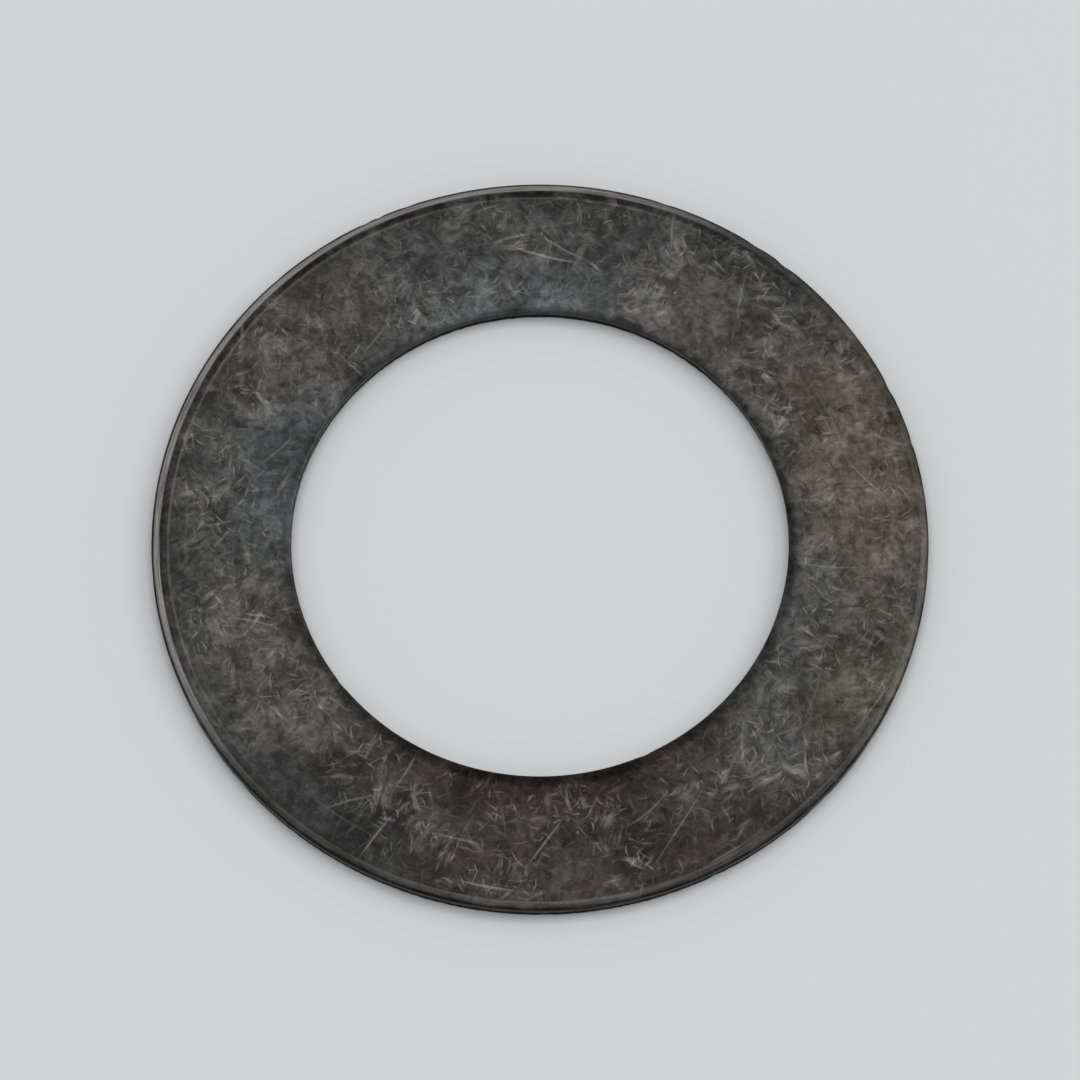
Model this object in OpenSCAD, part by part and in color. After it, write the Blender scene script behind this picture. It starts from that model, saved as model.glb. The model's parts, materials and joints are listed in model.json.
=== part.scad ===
// Flat washer, blanked and pierced from steel sheet in one stroke of a compound die.
// It is one ring, with its axis on Z and its lower face on Z = 0. Sizes are in millimetres.
// Both cut walls show the same four zones, from the upper face down: a rounding where the
// sheet bent before it sheared, a straight clean land, a torn wall that leans back into
// the sheet, and a softened burr corner.

/* [Washer] */
// Outside diameter
outer_d = 25.4; // [22:0.1:60]
// Bore diameter, measured on the clean land
bore_d = 16.26; // [6:0.01:18]
// Thickness of the sheet
thickness = 0.79; // [0.6:0.01:3]

/* [Stamped edges] */
// Width of the rounding, measured across the upper face
roll_width = 0.5; // [0.2:0.01:0.8]
// Depth of the rounding, measured down the wall
roll_depth = 0.12; // [0.05:0.01:0.2]
// Share of the wall under the rounding that is cut clean
land_share = 0.45; // [0.2:0.05:0.8]
// How far the torn wall leans back at its foot
tear_lean = 0.04; // [0.01:0.01:0.1]
// Size of the softened lower corners
burr_break = 0.04; // [0.01:0.01:0.08]

/* [Hidden] */

$fn = 240;
// How far a cutting shape runs past the sheet
spare = 0.2;

outer_r = outer_d / 2;
bore_r = bore_d / 2;
// The rounding is one arc: it leaves the upper face smoothly and meets the land at a corner.
roll_r = (roll_width * roll_width + roll_depth * roll_depth) / (2 * roll_depth);
// Height at which the clean land ends and the torn wall starts
land_foot = thickness - roll_depth - land_share * (thickness - roll_depth - burr_break);

// The ring's section with its upper corners still square
module sheared_section() {
    tear_foot_out = outer_r - tear_lean;
    tear_foot_in = bore_r + tear_lean;
    polygon([
        [tear_foot_in + burr_break, 0],
        [tear_foot_out - burr_break, 0],
        [tear_foot_out, burr_break],
        [outer_r, land_foot],
        [outer_r, thickness],
        [bore_r, thickness],
        [bore_r, land_foot],
        [tear_foot_in, burr_break]
    ]);
}

// What the rounding takes off one upper corner. into_sheet is 1 on the bore, -1 on the rim.
module roll_off(edge_r, into_sheet) {
    arc_top_r = edge_r + into_sheet * roll_width;
    past_edge_r = edge_r - into_sheet * spare;
    difference() {
        translate([min(arc_top_r, past_edge_r), thickness - roll_depth])
            square([roll_width + spare, roll_depth + spare]);
        translate([arc_top_r, thickness - roll_r])
            circle(r = roll_r);
    }
}

module washer() {
    color("#343334")
        rotate_extrude()
            difference() {
                sheared_section();
                roll_off(outer_r, -1);
                roll_off(bore_r, 1);
            }
}

washer();
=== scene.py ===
"""The looks of a flat washer: black oxide over stamped steel sheet, scuffed by lying loose with others.

The CAD ring is replaced by one mesh with the same section, which adds what a press and a parts
bin leave on a real washer: an upper face that sags towards the cuts, a wandering line between the
clean and the torn part of each cut wall, a grainy tear, small nicks along the edges and slight
waves in the faces.
"""

import json
import math
from types import SimpleNamespace

import bpy
import numpy as np
from mathutils import Euler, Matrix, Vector, noise


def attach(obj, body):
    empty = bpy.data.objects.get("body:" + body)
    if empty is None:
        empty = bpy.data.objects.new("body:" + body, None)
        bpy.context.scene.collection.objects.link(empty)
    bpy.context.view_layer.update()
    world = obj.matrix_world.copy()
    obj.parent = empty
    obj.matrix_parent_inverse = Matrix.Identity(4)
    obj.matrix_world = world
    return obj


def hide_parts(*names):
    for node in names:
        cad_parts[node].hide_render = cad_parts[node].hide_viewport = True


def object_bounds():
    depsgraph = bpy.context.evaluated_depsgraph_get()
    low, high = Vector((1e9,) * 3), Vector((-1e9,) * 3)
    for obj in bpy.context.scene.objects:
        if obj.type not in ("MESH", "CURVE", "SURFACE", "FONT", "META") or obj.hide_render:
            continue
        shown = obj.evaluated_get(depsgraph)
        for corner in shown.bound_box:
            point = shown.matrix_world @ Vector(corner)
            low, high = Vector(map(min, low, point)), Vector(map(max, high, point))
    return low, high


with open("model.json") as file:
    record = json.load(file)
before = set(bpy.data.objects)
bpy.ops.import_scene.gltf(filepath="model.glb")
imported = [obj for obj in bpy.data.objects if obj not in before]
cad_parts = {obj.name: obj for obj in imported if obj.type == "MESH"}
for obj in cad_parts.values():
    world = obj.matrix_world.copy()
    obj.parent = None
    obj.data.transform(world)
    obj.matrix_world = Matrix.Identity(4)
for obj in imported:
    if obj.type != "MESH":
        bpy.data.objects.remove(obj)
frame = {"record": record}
cad_low, cad_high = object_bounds()

# ---------------------------------------------------------------- sizes, in metres

MM = 0.001
bore_mount = next(m for m in frame["record"]["mounts"] if m["name"] == "bore")
outer_r = (cad_high.x - cad_low.x) / 2
bore_r = bore_mount["dims"]["r_mm"] * MM
base_z = cad_low.z
thickness = cad_high.z - cad_low.z
middle = Vector(((cad_low.x + cad_high.x) / 2, (cad_low.y + cad_high.y) / 2, cad_high.z))

# The stamped edge, as in the CAD section
roll_width = 0.50 * MM
roll_depth = 0.12 * MM
land_share = 0.45
tear_lean = 0.04 * MM
burr_break = 0.04 * MM
# Heights at which the rounding meets the clean land, and the clean land meets the torn wall
land_top = thickness - roll_depth
land_foot = land_top - land_share * (land_top - burr_break)

# The upper face's own slope towards each cut edge: how deep, and how far from the edge it fades
SAG = 0.055 * MM
SAG_REACH = 0.68 * MM
# Waves in both faces: how deep, how long, and the width over which they die away near an edge
WAVE_DEPTH = 0.022 * MM
WAVE_LENGTH = 2.4 * MM
WAVE_FADE = 0.6 * MM
# Grain on the torn wall: how deep, how wide, and the share to which heights are squeezed before its
# noise is read, which draws the grain out along the cut
GRAIN_DEPTH = 0.022 * MM
GRAIN_SIZE = 0.16 * MM
GRAIN_SQUEEZE = 0.45
# How far the line between clean and torn strays, in broad swings and in quick ones
TEAR_SWING = 0.05 * MM
TEAR_SHAKE = 0.02 * MM

# Nicks: the radius and height of the corner that is knocked, how many, and how deep the deepest is
NICKED_EDGES = (
    (outer_r, land_top, 34, 0.04 * MM),
    (bore_r, land_top, 16, 0.03 * MM),
    (outer_r - tear_lean, burr_break, 24, 0.04 * MM),
)

# How finely the ring is cut: steps round it, and steps along each part of its section
AROUND = 960
UPPER_STEPS, LOWER_STEPS = 34, 16
ROLL_STEPS, LAND_STEPS, TEAR_STEPS = 8, 4, 6
# Distance from a corner to the loop that keeps the flat beside it flat
HOLD = 0.02 * MM

rng = np.random.default_rng(16)


# ---------------------------------------------------------------- the ring's section

def wall_profile():
    """(inset, height) down one cut wall, from the upper face to the lower. Inset is the distance into
    the sheet from the nominal edge."""
    roll_r = (roll_width**2 + roll_depth**2) / (2 * roll_depth)
    sweep = math.asin(roll_width / roll_r)
    turns = np.linspace(0, sweep, ROLL_STEPS + 1)
    roll = [(roll_width - roll_r * math.sin(t), thickness - roll_r * (1 - math.cos(t))) for t in turns]
    land = [(0.0, h) for h in np.linspace(land_top, land_foot, LAND_STEPS + 1)[1:]]
    share = np.linspace(0, 1, TEAR_STEPS + 1)[1:]
    tear = [(tear_lean * s, land_foot + (burr_break - land_foot) * s) for s in share]
    corner = [(tear_lean + burr_break * s, burr_break * (1 - s)) for s in (0.45, 1.0)]
    return np.array(roll + land + tear + corner)


def flat_stations(start, end, steps):
    """Radii across a flat face, with a holding loop close to each end."""
    inner = np.linspace(start, end, steps + 1)[1:-1]
    hold = math.copysign(HOLD, end - start)
    return np.concatenate(([start + hold], inner, [end - hold]))


def section():
    """The closed section as radius, height and a part name for each point: upper, rim, lower, bore."""
    wall = wall_profile()
    rim_r, bore_wall_r = outer_r - wall[:, 0], bore_r + wall[:, 0]
    upper = flat_stations(bore_wall_r[0], rim_r[0], UPPER_STEPS)
    lower = flat_stations(rim_r[-1], bore_wall_r[-1], LOWER_STEPS)
    radius = np.concatenate((upper, rim_r, lower, bore_wall_r[::-1]))
    height = np.concatenate((np.full(len(upper), thickness), wall[:, 1], np.zeros(len(lower)), wall[::-1, 1]))
    part = np.repeat(["upper", "rim", "lower", "bore"], [len(upper), len(wall), len(lower), len(wall)])
    return radius, height, part


def section_normals(radius, height):
    """Outward unit normals of the closed section, which runs clockwise seen with the axis on the left."""
    dr = np.roll(radius, -1) - np.roll(radius, 1)
    dz = np.roll(height, -1) - np.roll(height, 1)
    length = np.hypot(dr, dz)
    return -dz / length, dr / length


# ---------------------------------------------------------------- marks left on the ring

def wander(theta, waves, seed):
    """A smooth random line round the ring, from -1 to 1, which closes on itself. waves is its least
    and greatest number of swings in a turn."""
    draw = np.random.default_rng(seed)
    counts = np.arange(waves[0], waves[1] + 1)
    strengths = draw.normal(size=len(counts)) / np.sqrt(counts)
    phases = draw.uniform(0, 2 * math.pi, len(counts))
    line = (strengths[:, None] * np.cos(counts[:, None] * theta + phases[:, None])).sum(0)
    return line / np.abs(line).max()


def tear_line_shift(theta, height, part):
    """How far each point moves up as the line between clean and torn wanders. The shift is greatest on
    that line and nothing at the wall's two ends."""
    above = (land_top - height) / (land_top - land_foot)
    below = (height - burr_break) / (land_foot - burr_break)
    share = np.clip(np.minimum(above, below), 0, 1)
    shift = np.zeros((len(theta), len(height)))
    for wall, seed in (("rim", 3), ("bore", 4)):
        line = TEAR_SWING * wander(theta, (3, 60), seed) + TEAR_SHAKE * wander(theta, (60, 240), seed + 10)
        shift += line[:, None] * share * (part == wall)
    return shift


def bump_field(points, wavelength, octaves, seed):
    """Fractal noise from 0 to 1 at each point, whose broadest swings are a wavelength apart."""
    offset = Vector((seed * 3.7, seed * 1.3, seed * 2.9))
    spots = points.reshape(-1, 3)
    values = [noise.fractal(Vector(p) / wavelength + offset, 1.0, 2.0, octaves) for p in spots]
    return np.clip(np.array(values) * 0.5 + 0.5, 0, 1).reshape(points.shape[:-1])


def nick_depths(theta, radius, height, edge_r, edge_height, count, deepest):
    """How far small knocks press in one corner of the section, for every angle and section point."""
    depth = np.zeros((len(theta), len(radius)))
    reach = np.hypot(radius - edge_r, height - edge_height)
    for _ in range(count):
        at = rng.uniform(0, 2 * math.pi)
        size = deepest * rng.uniform(0.25, 1.0) ** 1.5
        half_width = rng.uniform(0.10, 0.30) * MM
        spread = rng.uniform(0.05, 0.12) * MM
        along = ((theta - at + math.pi) % (2 * math.pi) - math.pi) * edge_r
        depth += size * np.exp(-((along / half_width) ** 2))[:, None] * np.exp(-((reach / spread) ** 2))
    return depth


def inward_depths(theta, radius, height, part, places):
    """How far every point is pressed in, square to the section."""
    on_wall = np.isin(part, ("rim", "bore"))
    torn = on_wall & (height <= land_foot)
    drawn_down = places * (1, 1, GRAIN_SQUEEZE)
    depth = GRAIN_DEPTH * bump_field(drawn_down, GRAIN_SIZE, octaves=3, seed=5) * torn

    edge_distance = np.minimum(radius - bore_r, outer_r - radius)
    edge_start = np.where(part == "upper", roll_width, tear_lean + burr_break)
    fade = np.clip((edge_distance - edge_start) / WAVE_FADE, 0, 1)
    depth += WAVE_DEPTH * bump_field(places, WAVE_LENGTH, octaves=3, seed=7) * fade * ~on_wall

    for edge_r, edge_height, count, deepest in NICKED_EDGES:
        depth += nick_depths(theta, radius, height, edge_r, edge_height, count, deepest)
    return depth + SAG * np.exp(-((edge_distance / SAG_REACH) ** 2)) * (part == "upper")


def wall_drop(height, part):
    """How far the walls' points come down to meet the sagging upper face."""
    at_roll = SAG * math.exp(-((roll_width / SAG_REACH) ** 2))
    share = np.clip((height - burr_break) / (land_top - burr_break), 0, 1)
    return at_roll * share * np.isin(part, ("rim", "bore"))


# ---------------------------------------------------------------- the ring's mesh

def ring_quads(steps):
    """Four vertex numbers for each quad between neighbouring turns and neighbouring section points."""
    ring, along = np.meshgrid(np.arange(AROUND), np.arange(steps), indexing="ij")
    next_ring, next_along = (ring + 1) % AROUND, (along + 1) % steps
    corners = (ring * steps + along, ring * steps + next_along,
               next_ring * steps + next_along, next_ring * steps + along)
    return np.stack(corners, -1).reshape(-1, 4)


def build_ring():
    """Vertices and quads of the washer."""
    theta = np.arange(AROUND) * 2 * math.pi / AROUND
    radius, height, part = section()
    out_r, out_z = section_normals(radius, height)
    cos, sin = np.cos(theta)[:, None], np.sin(theta)[:, None]
    z = height + tear_line_shift(theta, height, part)
    places = np.stack((radius * cos, radius * sin, z), -1)
    inward = inward_depths(theta, radius, height, part, places)
    z -= wall_drop(height, part)
    reach = radius - inward * out_r
    vertices = np.stack((reach * cos, reach * sin, base_z + z - inward * out_z), -1)
    return vertices.reshape(-1, 3), ring_quads(len(radius))


def washer_object():
    vertices, quads = build_ring()
    mesh = bpy.data.meshes.new("washer_ring")
    mesh.from_pydata(vertices.tolist(), [], quads.tolist())
    mesh.validate()
    mesh.shade_smooth()
    ring = bpy.data.objects.new("washer_ring", mesh)
    bpy.context.scene.collection.objects.link(ring)
    return ring


# ---------------------------------------------------------------- short calls that build materials

class Graph:
    """Adds nodes to a material and returns their outputs."""

    def __init__(self, material):
        material.use_nodes = True
        self.tree = material.node_tree
        self.shader = self.tree.nodes["Principled BSDF"]

    def node(self, kind, inputs=(), **settings):
        made = self.tree.nodes.new(kind)
        for name, value in settings.items():
            setattr(made, name, value)
        for name, value in dict(inputs).items():
            self.set(made.inputs[name], value)
        return made

    def set(self, socket, value):
        if isinstance(value, bpy.types.NodeSocket):
            self.tree.links.new(value, socket)
        elif value is not None:
            socket.default_value = value

    def math(self, operation, a, b=None, c=None):
        return self.node("ShaderNodeMath", {0: a, 1: b, 2: c}, operation=operation).outputs[0]

    def total(self, first, *others):
        for value in others:
            first = self.math("ADD", first, value)
        return first

    def product(self, first, *others):
        for value in others:
            first = self.math("MULTIPLY", first, value)
        return first

    def line(self, value, slope, start):
        """value times slope, plus start."""
        return self.math("MULTIPLY_ADD", value, slope, start)

    def vector(self, operation, a, b=None, scale=None):
        made = self.node("ShaderNodeVectorMath", {0: a, 1: b, 3: scale}, operation=operation)
        return made.outputs["Value" if operation in ("LENGTH", "DOT_PRODUCT") else "Vector"]

    def split(self, vector):
        return self.node("ShaderNodeSeparateXYZ", {0: vector}).outputs[:3]

    def join(self, x, y, z):
        return self.node("ShaderNodeCombineXYZ", {0: x, 1: y, 2: z}).outputs[0]

    def ramp(self, value, low, high, to_low=0.0, to_high=1.0):
        """A smooth step from to_low at low to to_high at high."""
        inputs = {"Value": value, "From Min": low, "From Max": high, "To Min": to_low, "To Max": to_high}
        return self.node("ShaderNodeMapRange", inputs, interpolation_type="SMOOTHSTEP").outputs[0]

    def noise(self, vector, scale, detail=3.0, roughness=0.55, distortion=0.0):
        inputs = {"Vector": vector, "Scale": scale, "Detail": detail, "Roughness": roughness,
                  "Distortion": distortion}
        return self.node("ShaderNodeTexNoise", inputs).outputs["Fac"]

    def mix(self, share, a, b):
        made = self.node("ShaderNodeMix", data_type="RGBA")
        for socket, value in zip((made.inputs[0], made.inputs[6], made.inputs[7]), (share, a, b)):
            self.set(socket, value)
        return made.outputs[2]

    def brighten(self, colour, factor):
        return self.vector("SCALE", colour, scale=factor)


# ---------------------------------------------------------------- scratches and bands, in millimetres

def tapered_line(g, along, across, length, width):
    """1 on the middle of a straight line, fading to 0 at its sides and towards its pointed ends."""
    from_middle = g.math("MULTIPLY", along, 2 / length)
    end_share = g.math("MULTIPLY", from_middle, from_middle)
    return g.ramp(g.line(end_share, width, g.math("ABSOLUTE", across)), 0.0, width, 1.0, 0.0)


def bend_across(g, along, across, bend):
    """The distance across a line that curves by bend times the square of the distance along it."""
    return g.line(g.math("MULTIPLY", along, along), bend, across)


def scatter(g, plane, cell, seed):
    """Scattered cells. Returns the place in each cell along and across its own random direction, the
    distance from its middle, and three random draws for the cell."""
    shifted = g.vector("ADD", plane, (seed * 7.3, seed * 5.1, 0))
    cells = g.node("ShaderNodeTexVoronoi", {"Vector": shifted, "Scale": 1 / cell, "Randomness": 1.0},
                   voronoi_dimensions="2D").outputs
    draws = g.node("ShaderNodeSeparateColor", {0: cells["Color"]}).outputs
    local = g.vector("SUBTRACT", shifted, cells["Position"])
    turn = g.math("MULTIPLY", draws[0], 2 * math.pi)
    turned = g.node("ShaderNodeVectorRotate", {"Vector": local, "Angle": turn}, rotation_type="Z_AXIS")
    along, across, _ = g.split(turned.outputs[0])
    return along, across, g.math("MULTIPLY", cells["Distance"], cell), draws


def strokes(g, plane, cell, length, width, bend, seed, share):
    """Single scratches, one at most in each cell, each with its own direction, bend and strength. Up
    to 1 along a scratch and 0 off it. share is the share of the cells that have one."""
    along, across, _, draws = scatter(g, plane, cell, seed)
    curve = g.math("MULTIPLY", g.math("SUBTRACT", draws[1], 0.5), bend)
    bent = bend_across(g, along, across, curve)
    chosen = g.ramp(draws[2], 1 - share, 1.25 - share * 0.5)
    return g.product(tapered_line(g, along, bent, length, width), chosen)


def abrasion(g, plane, cell, fineness, stretch, seed):
    """Patches of parallel fine scratches, one patch in each cell, which fade towards its border."""
    along, across, distance, draws = scatter(g, plane, cell, seed)
    curve = g.math("MULTIPLY", g.math("SUBTRACT", draws[1], 0.5), 0.8 / cell)
    bent = bend_across(g, along, across, curve)
    own_pattern = g.math("MULTIPLY", draws[2], 60.0)
    drawn_out = g.join(g.math("MULTIPLY", along, 1 / stretch), bent, own_pattern)
    lines = g.ramp(g.noise(drawn_out, fineness, 3.0, 0.6), 0.50, 0.72)
    return g.product(lines, g.ramp(distance, cell * 0.15, cell * 0.62, 1.0, 0.0))


def edge_band(g, inset, start, end, blur):
    """1 between two distances from a cut edge and 0 outside them."""
    past_start = g.ramp(inset, start - blur, start + blur)
    return g.product(past_start, g.ramp(inset, end - blur, end + blur, 1.0, 0.0))


# ---------------------------------------------------------------- what is where on the upper face

OXIDE = (0.0333, 0.0330, 0.0327, 1)
# The steel that shows where the oxide is rubbed
WORN = (0.36, 0.345, 0.32, 1)

# Patches of tint, painted sheen and painted shade, set until the light and dark areas followed those of
# the photograph's front washer: angle from +X, place from bore (0) to rim (1), reach in millimetres,
# colour, strength. A patch's middle may lie off the ring. The pale patches by the far side of the bore
# are painted sheen, the violet and blackish ones are tint darkened as painted shade, and the brown and
# olive ones are tint.
BROWN, OLIVE = (0.061, 0.050, 0.039, 1), (0.046, 0.043, 0.031, 1)
# The pale colour is painted sheen; the violet, blue-black and plum-black colours are tint darkened as painted
# shade.
PALE_SHEEN = (0.0450, 0.0460, 0.0475, 1)
VIOLET_SHADE, BLUE_BLACK_SHADE = (0.0190, 0.0152, 0.0138, 1), (0.0118, 0.0117, 0.0118, 1)
PLUM_BLACK_SHADE = (0.0150, 0.0104, 0.0084, 1)
PATCHES = (
    (14, 0.66, 5.0, BROWN, 0.9),
    (334, 0.75, 3.4, OLIVE, 0.75),
    (50, 0.25, 3.4, BROWN, 0.35),
    (138, 0.55, 3.0, BROWN, 0.40),
    (210, 0.30, 3.8, OLIVE, 0.40),
    (92, -0.05, 4.6, PALE_SHEEN, 0.7),
    (166, 0.10, 3.4, PALE_SHEEN, 0.8),
    (270, 0.00, 6.4, VIOLET_SHADE, 0.9),
    (234, 0.95, 5.0, BLUE_BLACK_SHADE, 0.9),
    (292, 1.12, 5.6, PLUM_BLACK_SHADE, 0.72),
    (184, 1.05, 3.0, BLUE_BLACK_SHADE, 0.6),
    (268, -0.30, 5.2, PLUM_BLACK_SHADE, 0.7),
    (262, 0.85, 3.0, PLUM_BLACK_SHADE, 0.6),
    (317, 1.15, 3.4, BLUE_BLACK_SHADE, 0.5),
)

# Scratches set one by one, most of them after marks on that washer: angle from +X, place from bore to
# rim, length in millimetres, turn from the ring's own direction in degrees, bend, strength
SCRATCHES = (
    (89, 0.42, 2.9, -14, 0.05, 0.9),
    (95, 0.58, 1.5, 10, -0.15, 0.6),
    (262, 0.86, 2.3, -3, -0.045, 0.7),
    (299, 0.93, 2.0, 2, -0.04, 0.9),
    (318, 0.75, 1.1, 48, 0.3, 0.7),
    (196, 0.30, 1.3, 65, 0.2, 0.5),
)
SCRATCH_WIDTH = 0.075

# How much of the oxide each kind of wear takes where it is strongest
SCUFF_WEAR, LONG_SCRATCH_WEAR, ARC_WEAR, NAMED_SCRATCH_WEAR = 0.27, 0.22, 0.07, 0.34


def facing(angle):
    """The unit direction out from the axis at an angle from +X."""
    return Vector((math.cos(math.radians(angle)), math.sin(math.radians(angle)), 0))


# The sides where the rim's rubbed line and painted highlight are brightest, where the painted shade
# line inside it is darkest, and where the face is least scuffed
RUBBED_AND_LIT_SIDE, SHADE_LINE_SIDE, CALM_SIDE = facing(138), facing(112), facing(228)


def ring_place(angle, across):
    """The outward direction at an angle, the direction round the ring there, and the point that is this
    far from bore (0) to rim (1), in millimetres."""
    outward = facing(angle)
    centre = outward * (bore_r + (outer_r - bore_r) * across) / MM
    return outward, Vector((-outward.y, outward.x, 0)), centre


def patch_tint_sheen_and_shade(g, plane, colour):
    """Lays the patches of tint, painted sheen and painted shade over a colour. They are longer round the
    ring than across it, and frayed.
    """
    fray = g.line(g.noise(plane, 0.7, 4.0, 0.65), 4.4, -2.2)
    for angle, across, reach, tint, strength in PATCHES:
        outward, ahead, centre = ring_place(angle, across)
        offset = g.vector("SUBTRACT", plane, centre)
        oval = g.join(g.math("MULTIPLY", g.vector("DOT_PRODUCT", offset, outward), 1.35),
                      g.math("MULTIPLY", g.vector("DOT_PRODUCT", offset, ahead), 0.75), 0.0)
        distance = g.math("ADD", g.vector("LENGTH", oval), fray)
        colour = g.mix(g.ramp(distance, reach * 0.3, reach, strength, 0.0), colour, tint)
    return colour


def named_scratches(g, plane):
    """The scratches of the list above, each at its own strength, and 0 off them."""
    marks = []
    for angle, place_across, length, turn, bend, strength in SCRATCHES:
        _, ahead, centre = ring_place(angle, place_across)
        ahead.rotate(Euler((0, 0, math.radians(turn))))
        offset = g.vector("SUBTRACT", plane, centre)
        along = g.vector("DOT_PRODUCT", offset, ahead)
        across = g.vector("DOT_PRODUCT", offset, Vector((ahead.y, -ahead.x, 0)))
        mark = tapered_line(g, along, bend_across(g, along, across, -bend), length, SCRATCH_WIDTH)
        marks.append(g.product(mark, strength))
    return g.total(*marks)


# ---------------------------------------------------------------- the black oxide, in millimetres

# How far off in the plane the lower face reads its pattern
LOWER_FACE_SHIFT = 47.0
# How fast a pattern in ring coordinates changes round the ring and across it
RING_AROUND, RING_ACROSS = 1.6, 6.0


def coordinates(g):
    """Where a point of the washer is, in the ways that its patterns need."""
    spot = g.vector("SCALE", g.node("ShaderNodeTexCoord").outputs["Object"], scale=1 / MM)
    x, y, z = g.split(spot)
    flat = g.join(x, y, 0.0)
    radius = g.vector("LENGTH", flat)
    outward = g.vector("NORMALIZE", flat)
    from_rim = g.math("SUBTRACT", outer_r / MM, radius)
    from_bore = g.math("SUBTRACT", radius, bore_r / MM)

    # Each face has its own pattern: the lower one reads the plane somewhere else.
    top = thickness / MM
    face_shift = g.ramp(z, top * 0.40, top * 0.41, LOWER_FACE_SHIFT, 0.0)
    plane = g.join(g.math("ADD", x, face_shift), y, 0.0)
    # Ring coordinates, in which a pattern follows circles about the bore
    ring_height = g.join(0.0, 0.0, g.line(radius, RING_ACROSS, face_shift))
    ring = g.vector("ADD", g.vector("SCALE", outward, scale=RING_AROUND), ring_height)
    # The distance from the rim, which wavers a little round the ring
    swayed = g.math("ADD", from_rim, g.line(g.noise(ring, 0.7, 2.0), 0.16, -0.08))
    return SimpleNamespace(spot=spot, flat=flat, x=x, y=y, z=z, plane=plane, ring=ring, outward=outward,
                           from_rim=from_rim, from_bore=from_bore, swayed=swayed)


def oxide_colour(g, at, blotch, mottle):
    """The oxide's colour: patches of tint, painted sheen and painted shade, mottled at four sizes, with
    dark gaps between the scuffs.
    """
    drift = g.noise(at.plane, 0.34, 2.0, 0.5, 0.5)
    speckle = g.noise(at.plane, 7.0, 3.0, 0.65)
    gaps = g.line(abrasion(g, at.plane, 1.1, 3.4, 3.5, 7), -0.62, 1.0)
    tone = g.product(g.ramp(drift, 0.35, 0.65, 0.74, 1.30), g.ramp(blotch, 0.32, 0.68, 0.62, 1.44),
                     g.ramp(mottle, 0.32, 0.68, 0.62, 1.42), g.ramp(speckle, 0.30, 0.70, 0.82, 1.18), gaps)
    return g.brighten(patch_tint_sheen_and_shade(g, at.plane, OXIDE), tone)


def face_wear(g, at):
    """Wear on the faces: flecks where high spots are rubbed, patches of fine scratches, commas and
    dashes, a few long scratches, arcs rubbed by washers turning on each other, and the scratches that
    are set one by one."""
    flecks = g.ramp(g.noise(at.plane, 4.2, 3.0, 0.7, 1.4), 0.58, 0.72)
    scuffs = g.total(abrasion(g, at.plane, 0.9, 6.0, 5.0, 1), abrasion(g, at.plane, 1.3, 3.2, 4.0, 2),
                     strokes(g, at.plane, 0.42, 0.50, 0.045, 3.0, 3, 0.7),
                     strokes(g, at.plane, 0.55, 0.80, 0.026, 1.5, 6, 0.7))
    here = g.product(g.ramp(g.noise(at.plane, 0.45, 2.0, 0.5), 0.36, 0.64, 0.25, 1.0),
                     g.ramp(g.vector("DOT_PRODUCT", at.plane, CALM_SIDE), 9.6, 12.0, 1.0, 0.35))
    long = g.total(strokes(g, at.plane, 2.2, 2.6, 0.060, 0.25, 4, 0.45),
                   strokes(g, at.plane, 4.4, 5.0, 0.050, 0.08, 5, 0.3))
    arcs = g.ramp(g.noise(at.ring, 1.0, 5.0, 0.75), 0.56, 0.74)
    return g.total(g.product(g.line(flecks, 0.8, scuffs), here, SCUFF_WEAR),
                   g.product(long, LONG_SCRATCH_WEAR), g.product(arcs, ARC_WEAR),
                   g.product(named_scratches(g, at.plane), NAMED_SCRATCH_WEAR))


def shoulder_wear_and_highlight(g, at):
    """The thin bright lines along both shoulders, and a faint one where the rim's rounding starts: partly
    rubbed steel, partly painted highlight, brightest on the side the light comes from.
    """
    top = thickness / MM
    bore_line = g.product(g.ramp(at.from_bore, 0.04, 0.10, 1.0, 0.0), 0.12)
    both = g.math("ADD", edge_band(g, at.from_rim, 0.07, 0.26, 0.03), bore_line)
    on_shoulder = g.product(both, g.ramp(at.z, top - 0.22, top - 0.17))
    second_line = g.product(edge_band(g, at.swayed, 0.50, 0.58, 0.04), 0.14)
    ragged = g.ramp(g.noise(at.ring, 4.0, 4.0, 0.7), 0.32, 0.62, 0.3, 1.0)
    side = g.ramp(g.vector("DOT_PRODUCT", at.outward, RUBBED_AND_LIT_SIDE), 0.05, 0.65, 0.12, 1.0)
    return g.product(g.math("ADD", on_shoulder, second_line), ragged, side)


def painted_shade_line(g, at):
    """Painted shade: the dark line just inside the rim's shoulder, where its rounding turns away from the
    light, darkest on one side.
    """
    side = g.ramp(g.vector("DOT_PRODUCT", at.outward, SHADE_LINE_SIDE), 0.3, 0.9, 0.06, 0.45)
    return g.product(edge_band(g, at.swayed, 0.34, 0.48, 0.05), side)


def cut_walls(g, at):
    """Two masks: 1 on the cut walls, below the rounding and above the burr, and 1 on their torn part."""
    top, foot = thickness / MM, land_foot / MM
    on_wall = g.product(g.ramp(at.z, top - 0.20, top - 0.16, 1.0, 0.0), g.ramp(at.z, 0.005, 0.035))
    stray = g.line(g.noise(at.flat, 1.6, 3.0, 0.6), -0.24, 0.12)
    torn = g.ramp(g.math("ADD", at.z, stray), foot - 0.015, foot + 0.015, 1.0, 0.0)
    return on_wall, g.product(on_wall, torn)


def wall_oxide_and_shade(g, at, on_wall, torn):
    """The share of the oxide's brightness that is left: all of it on the faces, little on the cut
    walls, which the cut streaks from top to foot, and least where they are torn. The walls' darkness is
    partly the bare oxide's own black and partly painted shade, for edges that lie in shadow."""
    streaks = g.noise(g.join(at.x, at.y, g.math("MULTIPLY", at.z, 0.12)), 7.0, 3.0, 0.6)
    left = g.product(g.line(torn, -0.14, 0.26), g.ramp(streaks, 0.34, 0.66, 0.35, 1.8))
    return g.line(g.math("SUBTRACT", left, 1.0), on_wall, 1.0)


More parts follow.
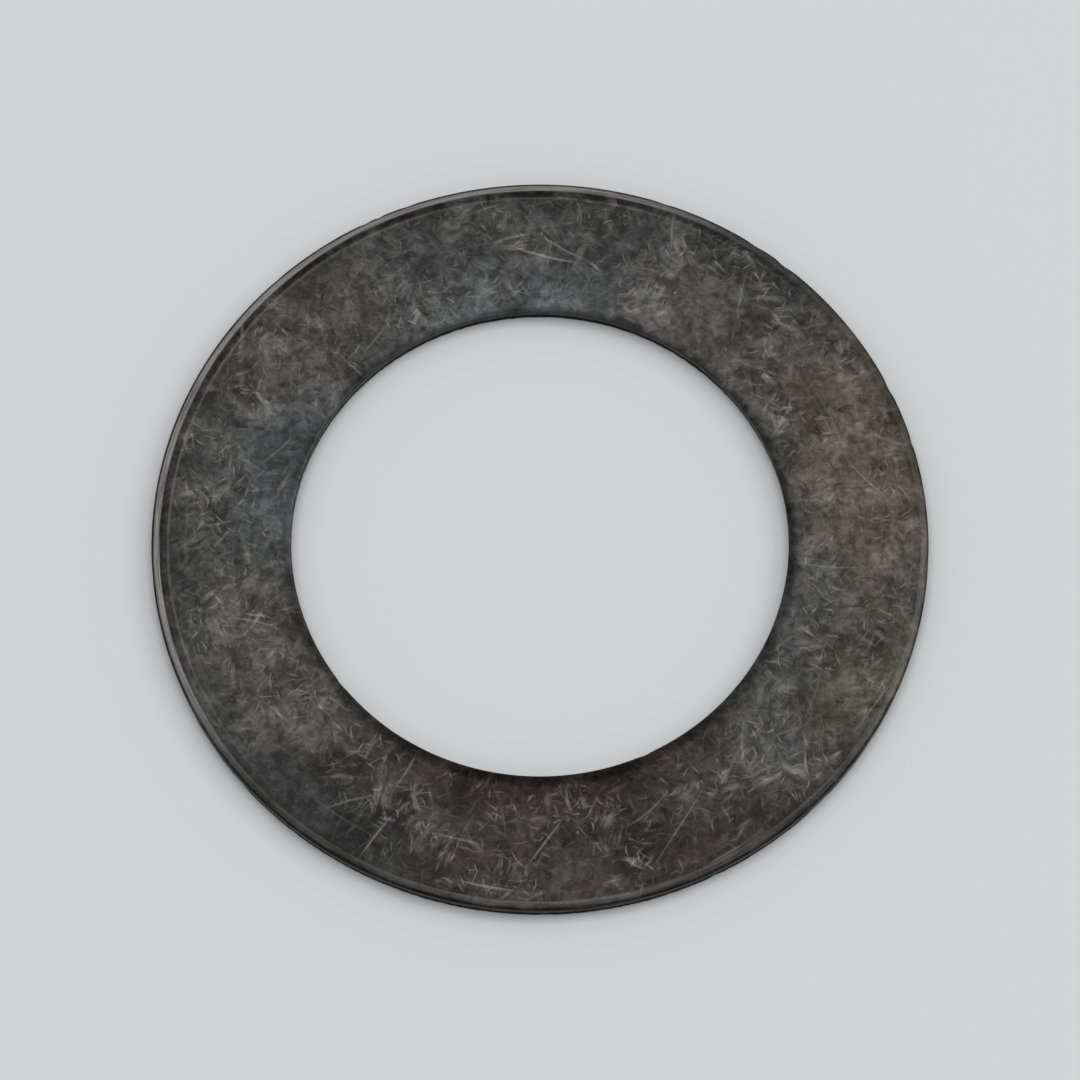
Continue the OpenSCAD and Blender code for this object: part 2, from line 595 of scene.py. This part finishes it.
def washer_material():
    material = bpy.data.materials.new("black_oxide_steel")
    g = Graph(material)
    at = coordinates(g)
    blotch = g.noise(at.plane, 0.95, 4.0, 0.6, 0.5)
    mottle = g.noise(at.plane, 2.5, 3.0, 0.6, 0.8)
    on_wall, torn = cut_walls(g, at)

    # The darker walls and the line inside the rim are partly painted shade.
    kept_after_shade = g.product(wall_oxide_and_shade(g, at, on_wall, torn), g.line(painted_shade_line(g, at), -1.0, 1.0))
    oxide = g.brighten(oxide_colour(g, at, blotch, mottle), kept_after_shade)
    inset = g.math("MINIMUM", at.from_rim, at.from_bore)
    on_faces = g.product(face_wear(g, at), g.line(on_wall, -0.8, 1.0), g.ramp(inset, 0.1, 0.7, 0.2, 1.0))
    # The shoulder lines in this mask are partly painted highlight; the rest is rubbed steel.
    wear_and_highlight = g.math("MINIMUM", g.math("ADD", shoulder_wear_and_highlight(g, at), on_faces), 1.0)
    g.set(g.shader.inputs["Base Color"], g.mix(wear_and_highlight, oxide, WORN))

    # The torn wall is the dullest part, and wear polishes.
    rough = g.line(torn, 0.40, g.ramp(blotch, 0.3, 0.7, 0.28, 0.40))
    g.set(g.shader.inputs["Roughness"], g.line(wear_and_highlight, -0.08, rough))
    g.shader.inputs["Metallic"].default_value = 0.7
    g.shader.inputs["Specular IOR Level"].default_value = 0.25
    g.shader.inputs["Specular Tint"].default_value = (0.8, 0.8, 0.8, 1)

    etch = g.line(g.noise(at.spot, 13.0, 2.0, 0.6), 0.5, g.math("MULTIPLY", mottle, 0.5))
    relief = g.line(wear_and_highlight, -1.0, etch)
    bump = g.node("ShaderNodeBump", {"Height": relief, "Strength": 0.5, "Distance": 0.010 * MM})
    g.set(g.shader.inputs["Normal"], bump.outputs[0])
    return material


# ---------------------------------------------------------------- stage, lights and camera

FLOOR_HALF = 1.5
# The floor is this far under the washer, so that the two don't share a plane.
FLOOR_GAP = 0.01 * MM
LAMP_DISTANCE = 0.60

# The camera's angle above the washer's face, as measured on the photograph's front washer, and its
# distance in outer radii, which is only a rough estimate of the photograph's
CAMERA_ELEVATION = 69
CAMERA_RADII = 22.5
# The share of the frame's width that the washer fills
FRAME_SHARE = 0.72


def floor_material():
    material = bpy.data.materials.new("pale_floor")
    g = Graph(material)
    g.shader.inputs["Base Color"].default_value = (0.70, 0.705, 0.705, 1)
    g.shader.inputs["Roughness"].default_value = 0.6
    return material


def make_floor():
    half, z = FLOOR_HALF, base_z - FLOOR_GAP
    corners = [(-half, -half, z), (half, -half, z), (half, half, z), (-half, half, z)]
    mesh = bpy.data.meshes.new("floor")
    mesh.from_pydata(corners, [], [(0, 1, 2, 3)])
    mesh.materials.append(floor_material())
    floor = bpy.data.objects.new("floor", mesh)
    bpy.context.scene.collection.objects.link(floor)


def place(obj, azimuth, elevation, distance):
    """Puts a lamp or camera on a sphere about the washer, facing it. Azimuth 0 is in front, on -Y."""
    a, e = math.radians(azimuth), math.radians(elevation)
    back = Vector((math.sin(a) * math.cos(e), -math.cos(a) * math.cos(e), math.sin(e)))
    obj.location = middle + back * distance
    obj.rotation_mode = "QUATERNION"
    obj.rotation_quaternion = (-back).to_track_quat("-Z", "Y")


def make_softbox(name, azimuth, elevation, width, height, radiance):
    """An area lamp that faces the washer, with its sides in metres."""
    lamp = bpy.data.lights.new(name, "AREA")
    lamp.shape = "RECTANGLE"
    lamp.size, lamp.size_y = width, height
    # A flat lamp of this power shows this radiance.
    lamp.energy = radiance * math.pi * width * height
    box = bpy.data.objects.new(name, lamp)
    bpy.context.scene.collection.objects.link(box)
    place(box, azimuth, elevation, LAMP_DISTANCE)


def make_light():
    """An even pale room, a large softbox overhead and a smaller one on the right."""
    world = bpy.data.worlds.new("studio")
    world.use_nodes = True
    world.node_tree.nodes["Background"].inputs["Color"].default_value = (0.97, 0.985, 1.0, 1)
    world.node_tree.nodes["Background"].inputs["Strength"].default_value = 0.50
    bpy.context.scene.world = world
    make_softbox("overhead", azimuth=180, elevation=87, width=0.44, height=0.50, radiance=2.0)
    make_softbox("window", azimuth=105, elevation=45, width=0.30, height=0.26, radiance=2.0)


def make_camera():
    """Looks at the washer at the photograph's angle to its front washer, from roughly as far."""
    camera_data = bpy.data.cameras.new("camera")
    camera = bpy.data.objects.new("camera", camera_data)
    bpy.context.scene.collection.objects.link(camera)
    distance = CAMERA_RADII * outer_r
    frame_width = 2 * outer_r / FRAME_SHARE
    camera_data.lens = camera_data.sensor_width * distance / frame_width
    place(camera, 0, CAMERA_ELEVATION, distance)
    bpy.context.scene.camera = camera


washer = washer_object()
washer.data.materials.append(washer_material())
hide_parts("washer")
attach(washer, "root")

make_floor()
make_light()
make_camera()
bpy.context.scene.view_settings.view_transform = "Standard"
